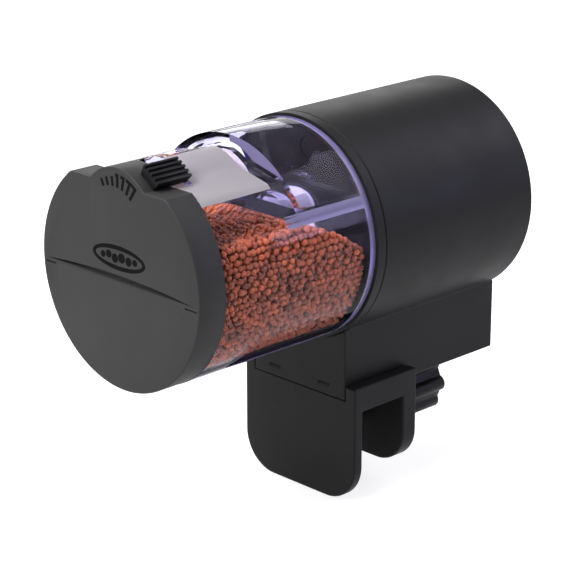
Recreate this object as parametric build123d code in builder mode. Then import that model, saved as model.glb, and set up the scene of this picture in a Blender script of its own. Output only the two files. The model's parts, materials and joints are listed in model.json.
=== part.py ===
from build123d import *
import math
import os

os.makedirs("parts", exist_ok=True)

# Frame: millimetres. +X to the right as seen from the cap, +Y from the cap to the rear panel,
# +Z up. The origin is the middle of the seat that rests on the tank's rim, under the bracket.

# ---- Driving dimensions ----
body_radius = 34.0
cell_box_height = 19.8  # from the underside of the body down to the rim seat
body_length = 68.2
body_wall = 2.2
bezel_length = 3.5
drum_radius = 33.1
drum_wall = 1.8
drum_length = 58.1  # clear stretch between the cap and the body
drum_front_length = 31.4  # of which the stretch with the feed tunnel
cap_radius = 33.0
cap_depth = 9.6
cap_wall = 1.4
cap_face = 1.8

# Feed tunnel along the top of the drum
tunnel_radius = 15.7
tunnel_drop = 2.0  # crest of the tunnel below the top of the drum
flat_drop = 8.9  # outer edge of the sloped flat below the top of the drum
fold_angle = 48.5  # where the flat meets the tunnel's roof, from level
cap_flat_drop = 6.7  # the cap's level flat below the top of the cap
shelf_thickness = 3.3
shelf_up = 12.7  # underside of the shelf above the drum axis
step_wall = 2.0
neck_length = 7.0
knob_slot_length = 6.0
outlet_length = 17.0
outlet_start = 92.0
outlet_end = 128.0

# Gate that slides round the tunnel
gate_travel = 55.0
gate_knob_angle = 55.0
gate_knob_half_angle = 11.0
gate_knob_length = 12.0
gate_knob_height = 3.3
gate_knob_setback = 3.2
shutter_wall = 1.2
shutter_start = 34.0
shutter_end = 90.0
shutter_length = 29.2

# Battery box and its two AA cells
cell_radius = 7.25
cell_length = 50.5
box_half_width = 19.2
box_overhang = 0.5
bezel_overhang = 2.0

# Clamp bracket
rim_gap = 17.7
plate_thickness = 3.5
leg_thickness = 5.8
bridge_thickness = 3.5
bracket_half_width = 23.5
bracket_ear = 4.4
plate_drop = 29.6
plate_corner = 12.0
leg_drop = 23.1
leg_corner = 11.0
screw_drop = 8.3  # clamp screw's axis below the rim seat
screw_radius = 2.95
screw_travel = 9.0
pad_radius = 6.0
pad_thickness = 3.0
clamp_knob_radius = 11.2
clamp_knob_length = 17.3
clamp_knob_lobes = 8

# Drive
gear_module = 0.6
pressure_angle = 25.0
output_teeth = 40
wheel_teeth = 32
pinion_teeth = 12
gear_width = 3.2
output_shaft_radius = 3.0
axle_radius = 1.0
hub_radius = 8.5
hub_key_radius = 7.2
motor_radius = 7.75
motor_length = 19.0
plate_radius = 25.0

# Rear panel
cover_thickness = 3.0
window_width = 26.0
window_height = 14.0
window_up = 10.0
button_radius = 2.6
button_spacing = 13.0
button_up = -9.0
feed_button_radius = 3.6
feed_button_up = -20.0
button_travel = 0.6
board_half_width = 21.0
board_half_height = 22.0
board_thickness = 1.6

# Clearances
running = 0.05  # radial, shaft in its bore
slip = 0.15  # parts that slide or pull off
free = 0.3  # moving parts that must never touch
seat = 0.2  # around parts that sit in a recess

# ---- Stations along Y and levels above the drum axis ----
axis_height = body_radius + cell_box_height  # drum axis above the rim seat
plate_front = -(rim_gap / 2 + plate_thickness)
leg_back = rim_gap / 2 + leg_thickness
body_front = plate_front - bezel_overhang
body_back = body_front + body_length
box_back = body_back + box_overhang
bezel_back = body_front + bezel_length
drum_back = body_front - free
drum_front = body_front - drum_length
cap_front = drum_front - cap_depth
step_front = drum_front + drum_front_length
tunnel_up = drum_radius - tunnel_drop - tunnel_radius
box_bottom = bridge_thickness - axis_height
screw_up = -screw_drop - axis_height


def across(station):
    """Sketch plane across the feeder on the drum axis: x is +X, y is +Z, and it extrudes to the front."""
    return Plane(origin=(0, station, axis_height), x_dir=(1, 0, 0), z_dir=(0, -1, 0))


def bar(radius, front, back, x=0.0, up=0.0, mode=Mode.ADD):
    """Round bar along Y from the front station to the back one."""
    with BuildSketch(across(back)) as profile:
        with Locations((x, up)):
            Circle(radius)
    extrude(profile.sketch, amount=back - front, mode=mode)


def tube(radius, bore, front, back, x=0.0, up=0.0):
    """Round tube along Y."""
    with BuildSketch(across(back)) as profile:
        with Locations((x, up)):
            Circle(radius)
            Circle(bore, mode=Mode.SUBTRACT)
    extrude(profile.sketch, amount=back - front)


def slab(width, height, front, back, x=0.0, up=0.0, mode=Mode.ADD):
    """Rectangular block centred on x and up."""
    with BuildSketch(across(back)) as profile:
        with Locations((x, up)):
            Rectangle(width, height)
    extrude(profile.sketch, amount=back - front, mode=mode)


def round_tunnel(radius, angle):
    """Point at an angle from level around the tunnel's axis."""
    turn = math.radians(angle)
    return (radius * math.cos(turn), tunnel_up + radius * math.sin(turn))


def sector(inner, outer, start, end, front, back, mode=Mode.ADD):
    """Part of a ring around the tunnel's axis."""
    middle = (start + end) / 2
    with BuildSketch(across(back)) as profile:
        with BuildLine():
            ThreePointArc(*[round_tunnel(outer, a) for a in (start, middle, end)])
            Line(round_tunnel(outer, end), round_tunnel(inner, end))
            ThreePointArc(*[round_tunnel(inner, a) for a in (end, middle, start)])
            Line(round_tunnel(inner, start), round_tunnel(outer, start))
        make_face()
    extrude(profile.sketch, amount=back - front, mode=mode)


def topped_round(radius, corner_up, bump_radius, bump_up, fold_up):
    """Round outline whose top is a flat each side of a half-round bump."""
    corner = (math.sqrt(radius**2 - corner_up**2), corner_up)
    fold = (math.sqrt(bump_radius**2 - (fold_up - bump_up) ** 2), fold_up)
    with BuildLine() as outline:
        ThreePointArc(corner, (0, -radius), (-corner[0], corner_up))
        Line((-corner[0], corner_up), (-fold[0], fold_up))
        ThreePointArc((-fold[0], fold_up), (0, bump_up + bump_radius), fold)
        Line(fold, corner)
    make_face(outline.edges())


def drum_section(inset, front, back, mode=Mode.ADD):
    """The drum's section with the tunnel, inset all round, between two stations."""
    fold_up = tunnel_up + tunnel_radius * math.sin(math.radians(fold_angle))
    with BuildSketch(across(back)) as profile:
        topped_round(drum_radius, drum_radius - flat_drop, tunnel_radius, tunnel_up, fold_up)
        if inset:
            offset(amount=-inset, kind=Kind.INTERSECTION, mode=Mode.REPLACE)
    extrude(profile.sketch, amount=back - front, mode=mode)


def cap_section(inset, front, back, mode=Mode.ADD):
    """The cap's section, level flats and the same bump, between two stations."""
    flat_up = cap_radius - cap_flat_drop
    with BuildSketch(across(back)) as profile:
        topped_round(cap_radius, flat_up, tunnel_radius, tunnel_up, flat_up)
        if inset:
            offset(amount=-inset, kind=Kind.INTERSECTION, mode=Mode.REPLACE)
    extrude(profile.sketch, amount=back - front, mode=mode)


def cross_slot(length, width, front, back, x=0.0, up=0.0):
    """Cross recess in a screw's head."""
    slab(length, width, front, back, x, up, Mode.SUBTRACT)
    slab(width, length, front, back, x, up, Mode.SUBTRACT)


def finish(builder, label):
    """Label the piece and write its file."""
    builder.part.label = label
    export_step(builder.part, f"parts/{label}.step")


# ---- Clear drum ----
neck_inset = cap_wall + slip
neck_wall = 1.4
inner_radius = drum_radius - drum_wall
shelf_turn = 3.0  # the shelf is level as far as this, left of centre
shelf_reach = 15.0
shelf_lip = drum_radius - 3.6
roof_start = drum_front + knob_slot_length
socket_back = drum_back
socket_front = body_front - 6.8
socket_wall = 1.9
key_clearance = 0.25
shutter_radius = tunnel_radius - drum_wall - slip
guide_radius = shutter_radius - shutter_wall - 2 * slip

with BuildPart() as drum_shell:
    drum_section(0, drum_front, step_front)
    drum_section(drum_wall, drum_front + drum_wall, step_front, Mode.SUBTRACT)
    cap_section(neck_inset, drum_front - neck_length, drum_front + drum_wall / 2)
    cap_section(neck_inset + neck_wall, drum_front - neck_length, drum_front + drum_wall, Mode.SUBTRACT)
    tube(drum_radius, inner_radius, step_front, drum_back)
    # step wall and shelf: a clear bulkhead that closes off the space above the shelf
    with BuildSketch(across(step_front + step_wall)):
        Circle(drum_radius)
        with Locations((0, shelf_up - drum_radius)):
            Rectangle(2 * drum_radius, 2 * drum_radius, mode=Mode.SUBTRACT)
    extrude(amount=step_wall)
    with BuildSketch(across(drum_back)):
        with BuildLine():
            Line((drum_radius, shelf_up), (-shelf_turn, shelf_up))
            Spline(
                (-shelf_turn, shelf_up),
                (-shelf_reach, shelf_lip),
                tangents=[(-1, 0), (-0.45, 1)],
            )
            Line((-shelf_reach, shelf_lip), (-shelf_reach + shelf_thickness, shelf_lip))
            Spline(
                (-shelf_reach + shelf_thickness, shelf_lip),
                (-shelf_turn + 1, shelf_up + shelf_thickness),
                tangents=[(0.45, -1), (1, 0)],
            )
            Line((-shelf_turn + 1, shelf_up + shelf_thickness), (drum_radius, shelf_up + shelf_thickness))
            Line((drum_radius, shelf_up + shelf_thickness), (drum_radius, shelf_up))
        make_face()
        Circle(inner_radius + drum_wall / 2, mode=Mode.INTERSECT)
    extrude(amount=drum_back - step_front - step_wall / 2)
    # rear wall with the socket that takes the drive hub's six-sided key
    bar(inner_radius + drum_wall / 3, drum_back - drum_wall, drum_back)
    bar(hub_key_radius + key_clearance + socket_wall, socket_front - drum_wall, drum_back)
    with BuildSketch(across(socket_back)):
        RegularPolygon(radius=hub_key_radius + key_clearance, side_count=6)
    extrude(amount=socket_back - socket_front, mode=Mode.SUBTRACT)
    # open slot for the gate's stem, guide for the shutter's far end, and the feed outlet
    sector(shutter_radius - 2, tunnel_radius + 2, 30, 150, drum_front, roof_start, Mode.SUBTRACT)
    sector(guide_radius - drum_wall, guide_radius, 20, 160, step_front - 5, step_front)
    outlet_front = drum_front + 10
    sector(shutter_radius - 0.5, tunnel_radius + 1, outlet_start, outlet_end,
           outlet_front, outlet_front + outlet_length, Mode.SUBTRACT)
finish(drum_shell, "drum_shell")

# ---- Food, a plain solid that fills the drum below the shelf ----
food_top = shelf_up - 2 * free
food_radius = inner_radius - free
food_back = drum_back - drum_wall - free
food_front = drum_front - neck_length + free
with BuildPart() as food_pellets:
    bar(food_radius, drum_front + 2 * drum_wall, food_back)
    bar(cap_radius - cap_wall - 2 * drum_wall, food_front, drum_front + 2 * drum_wall)
    with BuildSketch(Plane.YZ.offset(-drum_radius)):
        with BuildLine():
            Polyline(
                (food_front, axis_height + food_top),
                (step_front, axis_height + food_top),
                (food_back, axis_height + food_top / 6),
                (food_back, axis_height + 2 * drum_radius),
                (food_front, axis_height + 2 * drum_radius),
                close=True,
            )
        make_face()
    extrude(amount=2 * drum_radius, mode=Mode.SUBTRACT)
    bar(hub_key_radius + key_clearance + socket_wall + free, socket_front - drum_wall - free, food_back,
        mode=Mode.SUBTRACT)
finish(food_pellets, "food_pellets")

# ---- Cap ----
cap_bevel = 0.3
grip_height = 1.7
grip_depth = 1.1
grip_half_width = 31.0
grip_up = -1.1
slit_length = 4.6
slit_height = 0.5
with BuildPart() as drum_cap:
    cap_section(0, cap_front, drum_front)
    chamfer(drum_cap.faces().sort_by(Axis.Y)[0].edges(), cap_bevel)
    cap_section(cap_wall, cap_front + cap_face, drum_front, Mode.SUBTRACT)
    # finger grip across the middle of the face, deepest at mid-width
    with BuildSketch(across(cap_front + grip_depth)):
        with BuildLine():
            left, right = (-grip_half_width, grip_up), (grip_half_width, grip_up)
            Line(left, right)
            ThreePointArc(right, (0, grip_up + grip_height), left)
        make_face()
    extrude(amount=grip_depth, mode=Mode.SUBTRACT)
    for side in (-1, 1):
        slab(slit_length, slit_height, cap_front, cap_front + 0.6,
             side * (cap_radius - 3.5), grip_up - 1.2, Mode.SUBTRACT)
finish(drum_cap, "drum_cap")

# ---- Gate: ribbed knob outside, shutter inside ----
knob_front = cap_front + gate_knob_setback
knob_back = knob_front + gate_knob_length
knob_bottom = tunnel_radius + free
knob_top = knob_bottom + gate_knob_height
stem_half_angle = 6.0
stem_front = drum_front + 0.8
stem_back = roof_start - 0.8
shutter_front = drum_front + 0.25
rib_half_angle = 1.1
rib_pitch = 4.9
rib_height = 0.8
rib_root = 1.0
with BuildPart() as gate_knob:
    start = gate_knob_angle - gate_knob_half_angle
    end = gate_knob_angle + gate_knob_half_angle
    sector(knob_bottom, knob_top - rib_height, start, end, knob_front, knob_back)
    for rib in range(-2, 3):
        middle = gate_knob_angle + rib * rib_pitch
        sector(knob_top - rib_root, knob_top, middle - rib_half_angle, middle + rib_half_angle,
               knob_front, knob_back)
    sector(shutter_radius - shutter_wall, knob_bottom + 0.2, gate_knob_angle - stem_half_angle,
           gate_knob_angle + stem_half_angle, stem_front, stem_back)
finish(gate_knob, "gate_knob")

with BuildPart() as gate_shutter:
    sector(shutter_radius - shutter_wall, shutter_radius, shutter_start, shutter_end,
           shutter_front, shutter_front + shutter_length)
    sector(shutter_radius - 2 * shutter_wall, shutter_radius + 1, gate_knob_angle - stem_half_angle,
           gate_knob_angle + stem_half_angle, stem_front, stem_back, Mode.SUBTRACT)
finish(gate_shutter, "gate_shutter")

# ---- Gear train layout: angles on the sketch plane, from +X towards +Z ----
output_pitch = gear_module * output_teeth / 2
wheel_pitch = gear_module * wheel_teeth / 2
pinion_pitch = gear_module * pinion_teeth / 2
second_direction = 90.0
first_direction = -30.0
motor_direction = -70.0


def step_from(start, distance, direction):
    """Point at a distance and direction from another."""
    turn = math.radians(direction)
    return (start[0] + distance * math.cos(turn), start[1] + distance * math.sin(turn))


second_axis = step_from((0, 0), output_pitch + pinion_pitch, second_direction)
first_axis = step_from(second_axis, wheel_pitch + pinion_pitch, first_direction)
motor_axis = step_from(first_axis, wheel_pitch + pinion_pitch, motor_direction)
gear_front = body_front + body_wall + 0.55
layer_gap = 0.4
second_layer = gear_front + gear_width + layer_gap
third_layer = second_layer + gear_width + layer_gap
plate_front_face = third_layer + gear_width + 1.2
gear_plate_thickness = 2.0
plate_back_face = plate_front_face + gear_plate_thickness


def gear(teeth, tooth_angle, front, back, centre=(0, 0), bore=0.0):
    """Spur gear with involute flanks and one tooth centred on tooth_angle."""
    pitch = gear_module * teeth / 2
    base = pitch * math.cos(math.radians(pressure_angle))
    root = pitch - 1.25 * gear_module
    tip = pitch + 0.95 * gear_module
    backlash = 0.05
    half_tooth = (math.pi * gear_module / 4 - backlash) / pitch

    def involute(radius):
        roll = math.acos(min(1.0, base / radius))
        return math.tan(roll) - roll

    flank_start = max(base, root)
    flank = sorted({root, *[flank_start + (tip - flank_start) * i / 4 for i in range(5)]})
    half_angles = [half_tooth + involute(pitch) - involute(max(radius, base)) for radius in flank]
    outline = []
    for tooth in range(teeth):
        middle = math.radians(tooth_angle) + 2 * math.pi * tooth / teeth
        rising = [(r, middle - a) for r, a in zip(flank, half_angles)]
        falling = [(r, middle + a) for r, a in zip(reversed(flank), reversed(half_angles))]
        outline += [(r * math.cos(a), r * math.sin(a)) for r, a in rising + falling]
    with BuildSketch(across(back)) as profile:
        with BuildLine():
            Polyline(*[(x + centre[0], y + centre[1]) for x, y in outline], close=True)
        make_face()
        if bore:
            with Locations(centre):
                Circle(bore, mode=Mode.SUBTRACT)
    extrude(profile.sketch, amount=back - front)


def meshing(direction, teeth):
    """Tooth angle of a gear whose partner has a tooth pointing at it along a direction."""
    return direction + 180 + 180 / teeth


hub_back = gear_front
hub_front = socket_front + free
hub_screw_radius = 1.2
hub_screw_head = 2.4
hub_screw_recess = 2.2
hub_screw_sink = 0.4
slot_width = 0.6
slot_depth = 0.6
with BuildPart() as drive_hub:
    with BuildSketch(across(body_front)):
        RegularPolygon(radius=hub_key_radius, side_count=6)
    extrude(amount=body_front - hub_front)
    bar(hub_radius, body_front, hub_back)
    bar(hub_screw_radius + running, hub_front, hub_back, mode=Mode.SUBTRACT)
    bar(hub_screw_head + seat, hub_front, hub_front + hub_screw_recess, mode=Mode.SUBTRACT)
finish(drive_hub, "drive_hub")

shaft_back = plate_back_face + 4.6
with BuildPart() as output_gear:
    gear(output_teeth, second_direction, gear_front, gear_front + gear_width)
    bar(output_shaft_radius, gear_front + gear_width, shaft_back)
    bar(hub_screw_radius, gear_front, gear_front + 2 * gear_width, mode=Mode.SUBTRACT)
finish(output_gear, "output_gear")

with BuildPart() as hub_screw:
    bar(hub_screw_head, hub_front + hub_screw_sink, hub_front + hub_screw_recess)
    bar(hub_screw_radius, hub_front + hub_screw_recess, gear_front + 2 * gear_width - 1)
    cross_slot(3.2, slot_width, hub_front + hub_screw_sink, hub_front + hub_screw_sink + slot_depth)
finish(hub_screw, "hub_screw")

collar_radius = 1.6
gear_bore = axle_radius + running
gear_stack_front = body_front + body_wall + 0.3
with BuildPart() as second_gear:
    gear(pinion_teeth, meshing(second_direction, pinion_teeth), gear_front, second_layer,
         second_axis, gear_bore)
    gear(wheel_teeth, first_direction, second_layer, second_layer + gear_width, second_axis, gear_bore)
    tube(collar_radius, gear_bore, second_layer + gear_width, plate_front_face - free, *second_axis)
finish(second_gear, "second_gear")

with BuildPart() as first_gear:
    tube(collar_radius, gear_bore, gear_stack_front, second_layer + free, *first_axis)
    gear(pinion_teeth, meshing(first_direction, pinion_teeth), second_layer + free, third_layer,
         first_axis, gear_bore)
    gear(wheel_teeth, motor_direction, third_layer, third_layer + gear_width, first_axis, gear_bore)
    tube(collar_radius, gear_bore, third_layer + gear_width, plate_front_face - free, *first_axis)
finish(first_gear, "first_gear")

motor_front = plate_back_face
motor_shaft_back = motor_front + 2
with BuildPart() as motor_pinion:
    gear(pinion_teeth, meshing(motor_direction, pinion_teeth), third_layer, third_layer + gear_width,
         motor_axis, axle_radius)
finish(motor_pinion, "motor_pinion")

with BuildPart() as motor_shaft:
    bar(axle_radius, third_layer - 0.2, motor_shaft_back, *motor_axis)
finish(motor_shaft, "motor_shaft")

motor_boss_radius = 3.0
with BuildPart() as gear_motor:
    with BuildSketch(across(motor_front + motor_length)):
        with Locations(motor_axis):
            Circle(motor_radius)
            Rectangle(2 * motor_radius, 1.6 * motor_radius, mode=Mode.INTERSECT)
    extrude(amount=motor_length)
    bar(motor_boss_radius, plate_front_face + 0.2, motor_front, *motor_axis)
    bar(motor_boss_radius, motor_front + motor_length, motor_front + motor_length + 1.6, *motor_axis)
    bar(axle_radius + running, plate_front_face, motor_shaft_back + free, *motor_axis, mode=Mode.SUBTRACT)
finish(gear_motor, "gear_motor")

with BuildPart() as gear_axles:
    for centre in (first_axis, second_axis):
        bar(axle_radius, body_front + 0.9, plate_back_face, *centre)
finish(gear_axles, "gear_axles")

# ---- Front bezel with the gearbox posts ----
post_places = [(-17.0, -9.0), (-15.0, 18.0), (12.0, -17.0)]
post_radius = 2.3
small_screw_radius = 0.9
small_screw_head = 1.9
small_head_height = 1.4
seal_radius = 10.6
seal_thickness = 1.0
mark_radius = 3.2
mark_place = (5.6, 25.0)
groove = 0.3
with BuildPart() as front_bezel:
    tube(body_radius, body_radius - body_wall, body_front, bezel_back - groove)
    tube(body_radius - 2 * groove, body_radius - body_wall, bezel_back - groove, bezel_back)
    bar(body_radius - body_wall, body_front, body_front + body_wall)
    for place in post_places:
        bar(post_radius, body_front + body_wall, plate_front_face, *place)
        bar(small_screw_radius, plate_front_face - 6, plate_front_face, *place, mode=Mode.SUBTRACT)
    bar(hub_radius + running, body_front, body_front + body_wall, mode=Mode.SUBTRACT)
    bar(seal_radius, body_front, body_front + seal_thickness, mode=Mode.SUBTRACT)
    for centre in (first_axis, second_axis):
        bar(axle_radius, body_front + 0.9, body_front + body_wall, *centre, mode=Mode.SUBTRACT)
    bar(mark_radius, body_front, body_front + 0.5, *mark_place, mode=Mode.SUBTRACT)
finish(front_bezel, "front_bezel")

with BuildPart() as hub_seal:
    tube(seal_radius, hub_radius + running, body_front, body_front + seal_thickness)
finish(hub_seal, "hub_seal")

with BuildPart() as gear_plate:
    bar(plate_radius, plate_front_face, plate_back_face)
    bar(output_shaft_radius + running, plate_front_face, plate_back_face, mode=Mode.SUBTRACT)
    bar(motor_boss_radius, plate_front_face, plate_back_face, *motor_axis, mode=Mode.SUBTRACT)
    for centre in (first_axis, second_axis):
        bar(axle_radius, plate_front_face, plate_back_face, *centre, mode=Mode.SUBTRACT)
    for place in post_places:
        bar(small_screw_radius, plate_front_face, plate_back_face, *place, mode=Mode.SUBTRACT)
finish(gear_plate, "gear_plate")

with BuildPart() as plate_screws:
    for place in post_places:
        bar(small_screw_radius, plate_front_face - 5, plate_back_face, *place)
        head_back = plate_back_face + small_head_height
        bar(small_screw_head, plate_back_face, head_back, *place)
        cross_slot(2.4, slot_width, head_back - slot_depth, head_back, *place)
finish(plate_screws, "plate_screws")

cam_radius = 5.2
cam_lobe = 1.4
cam_front = plate_back_face + 0.8
with BuildPart() as home_cam:
    with BuildSketch(across(cam_front + 3)):
        Circle(cam_radius)
        with Locations((0, -cam_radius)):
            Circle(cam_lobe)
        Circle(output_shaft_radius, mode=Mode.SUBTRACT)
    extrude(amount=3)
finish(home_cam, "home_cam")

switch_reach = cam_radius + cam_lobe + 2 * free
with BuildPart() as home_switch:
    slab(6, 6.4, plate_back_face, plate_back_face + 5.6, -switch_reach - 6, 0)
    slab(3.2, 0.8, plate_back_face + 1.4, plate_back_face + 3.4, -switch_reach - 1.6, 2.4)
    bar(0.8, plate_back_face + 1.4, plate_back_face + 3.4, -switch_reach - 0.8, 2.4)
finish(home_switch, "home_switch")

# ---- Housing: round body and the battery box under it, moulded as one shell ----
floor_thickness = 1.9
cell_x = cell_radius + 0.35
cell_up = -math.sqrt((body_radius + free + cell_radius) ** 2 - cell_x**2)
box_inner_half = box_half_width - body_wall
box_floor = cell_up - cell_radius - free
boss_radius = 3.4
boss_circle = body_radius - body_wall - boss_radius + 0.6
cover_front = body_back - cover_thickness
boss_front = cover_front - 12
boss_angles = [90, 210, 330]
cover_screw_radius = 1.1
cover_screw_head = 2.2
cover_screw_recess = 1.6
cover_screw_sink = 0.2
clip_half_width = 2.3
clip_x = 10.4
clip_height = 1.7
clip_up = box_bottom + 3.6
clip_depth = 0.7
bay_front = plate_front + body_wall
with BuildPart() as housing_shell:
    bar(body_radius, bezel_back, body_back)
    with BuildSketch(across(box_back)):
        with Locations((0, box_bottom / 2)):
            Rectangle(2 * box_half_width, -box_bottom)
    extrude(amount=box_back - plate_front)
    # the bezel's place in front, the hollow body, then the bay with the body's wall as its roof
    bar(body_radius + 0.05, plate_front - 1, bezel_back, mode=Mode.SUBTRACT)
    bar(body_radius, body_back, box_back, mode=Mode.SUBTRACT)
    bar(body_radius - body_wall, bezel_back - 1, body_back, mode=Mode.SUBTRACT)
    with BuildSketch(across(box_back)):
        with Locations((0, box_floor / 2)):
            Rectangle(2 * box_inner_half, -box_floor)
        Circle(body_radius, mode=Mode.SUBTRACT)
    extrude(amount=box_back - bay_front, mode=Mode.SUBTRACT)
    for angle in boss_angles:
        boss = step_from((0, 0), boss_circle, angle)
        bar(boss_radius, boss_front, cover_front, *boss)
        bar(cover_screw_radius, boss_front + 2, cover_front, *boss, mode=Mode.SUBTRACT)
    for side in (-1, 1):
        with BuildSketch(Plane.YZ.offset(side * clip_x - clip_half_width)):
            with BuildLine():
                Polyline(
                    (plate_front, axis_height + clip_up),
                    (plate_front + clip_depth, axis_height + clip_up),
                    (plate_front, axis_height + clip_up - clip_height),
                    close=True,
                )
            make_face()
        extrude(amount=2 * clip_half_width, mode=Mode.SUBTRACT)
finish(housing_shell, "housing_shell")

# ---- Rear panel ----
cover_radius = body_radius - body_wall - seat
cover_skin = 1.8
lens_thickness = 1.2
button_places = [(-button_spacing, button_up), (0, button_up), (button_spacing, button_up)]
button_names = ["mode_button", "set_button", "adjust_button"]
buttons = list(zip(button_names, button_places, [button_radius] * 3))
buttons.append(("feed_button", (0, feed_button_up), feed_button_radius))
board_back = cover_front - 5.2
board_front = board_back - board_thickness
post_x = board_half_width - 3
post_up = board_half_height - 2.5
board_posts = [(x * post_x, up * post_up) for x in (-1, 1) for up in (-1, 1)]
board_post_radius = 1.9
with BuildPart() as rear_cover:
    bar(cover_radius, cover_front, body_back)
    bar(cover_radius - 1.6, cover_front, body_back - cover_skin, mode=Mode.SUBTRACT)
    for angle in boss_angles:
        place = step_from((0, 0), boss_circle, angle)
        bar(boss_radius - 0.8, cover_front, body_back - cover_skin + 0.1, *place)
        bar(cover_screw_radius + running, cover_front, body_back, *place, mode=Mode.SUBTRACT)
        bar(cover_screw_head + seat, body_back - cover_screw_recess, body_back, *place, mode=Mode.SUBTRACT)
    slab(window_width, window_height, cover_front, body_back, up=window_up, mode=Mode.SUBTRACT)
    slab(window_width + 2, window_height + 2, body_back - 0.6, body_back, up=window_up, mode=Mode.SUBTRACT)
    for name, place, radius in buttons:
        bar(radius + slip + running, cover_front, body_back, *place, mode=Mode.SUBTRACT)
    for place in board_posts:
        bar(board_post_radius, board_back, body_back - cover_skin + 0.1, *place)
        bar(small_screw_radius, board_back, board_back + 4, *place, mode=Mode.SUBTRACT)
finish(rear_cover, "rear_cover")

with BuildPart() as rear_cover_screws:
    for angle in boss_angles:
        place = step_from((0, 0), boss_circle, angle)
        head_back = body_back - cover_screw_sink
        bar(cover_screw_head, body_back - cover_screw_recess, head_back, *place)
        bar(cover_screw_radius, cover_front - 8, body_back - cover_screw_recess, *place)
        cross_slot(2.8, slot_width, head_back - slot_depth, head_back, *place)
finish(rear_cover_screws, "rear_cover_screws")

with BuildPart() as display_lens:
    slab(window_width + 2, window_height + 2, body_back - 0.6, body_back, up=window_up)
    slab(window_width, window_height, body_back - 0.6 - lens_thickness, body_back - 0.6, up=window_up)
finish(display_lens, "display_lens")

module_back = body_back - 0.6 - lens_thickness
with BuildPart() as display_module:
    slab(window_width + 4, window_height + 4, cover_front - 2.4, cover_front, up=window_up)
    slab(window_width - seat, window_height - seat, cover_front, module_back, up=window_up)
    for side in (-1, 1):
        slab(2, 6, board_back, cover_front - 2.4, side * (window_width / 2 - 1), window_up)
finish(display_module, "display_module")

switch_height = 2.4
with BuildPart() as circuit_board:
    slab(2 * board_half_width, 2 * board_half_height, board_front, board_back)
    for place in board_posts:
        bar(small_screw_radius + seat, board_front, board_back, *place, mode=Mode.SUBTRACT)
finish(circuit_board, "circuit_board")

with BuildPart() as board_screws:
    for place in board_posts:
        bar(small_screw_head, board_front - 1.2, board_front, *place)
        bar(small_screw_radius, board_front, board_back + 3.4, *place)
finish(board_screws, "board_screws")

with BuildPart() as control_chip:
    slab(9, 9, board_front - 1.4, board_front, -6, 2)
finish(control_chip, "control_chip")

with BuildPart() as tact_switches:
    for name, place, radius in buttons:
        slab(5.6, 5.6, board_back, board_back + switch_height, *place)
        bar(1.5, board_back + switch_height, board_back + switch_height + 0.2, *place)
finish(tact_switches, "tact_switches")

button_front = board_back + switch_height + 0.2 + button_travel + 0.1
for name, place, radius in buttons:
    with BuildPart() as button:
        bar(radius + 0.8, button_front, button_front + 1, *place)
        bar(radius, button_front, body_back + 0.7, *place)
        fillet(button.edges().sort_by(Axis.Y)[-1], 0.35)
    finish(button, name)

# ---- Batteries, contacts and door ----
spring_length = 5.6
cell_front = bay_front + 0.6 + spring_length
cell_back = cell_front + cell_length
nub_length = 1.0
with BuildPart() as battery_cells:
    for side in (-1, 1):
        nub_at_back = side > 0
        front = cell_front if nub_at_back else cell_front + nub_length
        back = cell_back - nub_length if nub_at_back else cell_back
        bar(cell_radius, front, back, side * cell_x, cell_up)
        bar(2.7, cell_front, cell_back, side * cell_x, cell_up)
finish(battery_cells, "battery_cells")

with BuildPart() as battery_contacts:
    for side in (-1, 1):
        slab(11, 11, bay_front, bay_front + 0.6, side * cell_x, cell_up)
        tube(3.4, 2.8, bay_front + 0.6, bay_front + 2.4, side * cell_x, cell_up)
        tube(3.0, 2.4, bay_front + 2.4, bay_front + 4.2, side * cell_x, cell_up)
        tube(2.6, 2.0, bay_front + 4.2, cell_front, side * cell_x, cell_up)
finish(battery_contacts, "battery_contacts")

door_thickness = 2.0
door_front = box_back - door_thickness
door_lug = 2.4
with BuildPart() as battery_door:
    with BuildSketch(across(box_back)):
        with Locations((0, box_floor / 2)):
            Rectangle(2 * (box_inner_half - seat), -box_floor - 2 * seat)
        Circle(body_radius + seat, mode=Mode.SUBTRACT)
        with Locations((0, 0)):
            Rectangle(4 * body_radius, 2 * (body_radius - 3), mode=Mode.SUBTRACT)
    extrude(amount=door_thickness)
    for side in (-1, 1):
        slab(5, 1.2, door_front - door_lug, door_front, side * cell_x, box_floor + 2 * seat + 0.8)
    slab(12, 1.6, box_back - 0.8, box_back, up=box_floor + 3.4, mode=Mode.SUBTRACT)
finish(battery_door, "battery_door")

with BuildPart() as door_contact:
    slab(4 * cell_x - 4, 8, door_front - 0.5, door_front, up=cell_up)
    for side in (-1, 1):
        slab(6, 5, cell_back, door_front - 0.5, side * cell_x, cell_up)
finish(door_contact, "door_contact")

lead_radius = 0.45
lead_spacing = 1.6
lead_inset = 5.0
lead_straight = 8.0
lead_jog = 6.0
lead_bend = 3.0
with BuildPart() as motor_leads:
    for side in (-1, 1):
        up = axis_height + motor_axis[1] + side * lead_spacing
        start = (motor_axis[0] - lead_inset, motor_front + motor_length, up)
        middle = board_front - lead_straight
        with BuildLine() as route:
            FilletPolyline(
                start,
                (start[0], start[1] + lead_straight, start[2]),
                (start[0] - lead_jog, middle, start[2]),
                (start[0] - lead_jog, board_front, start[2]),
                radius=lead_bend,
            )
        with BuildSketch(Plane(origin=start, z_dir=(0, 1, 0))):
            Circle(lead_radius)
        sweep()
finish(motor_leads, "motor_leads")

# ---- Clamp bracket, nut, screw, pad and knob ----
notch_half = box_half_width + slip
nut_radius = 4.2

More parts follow.
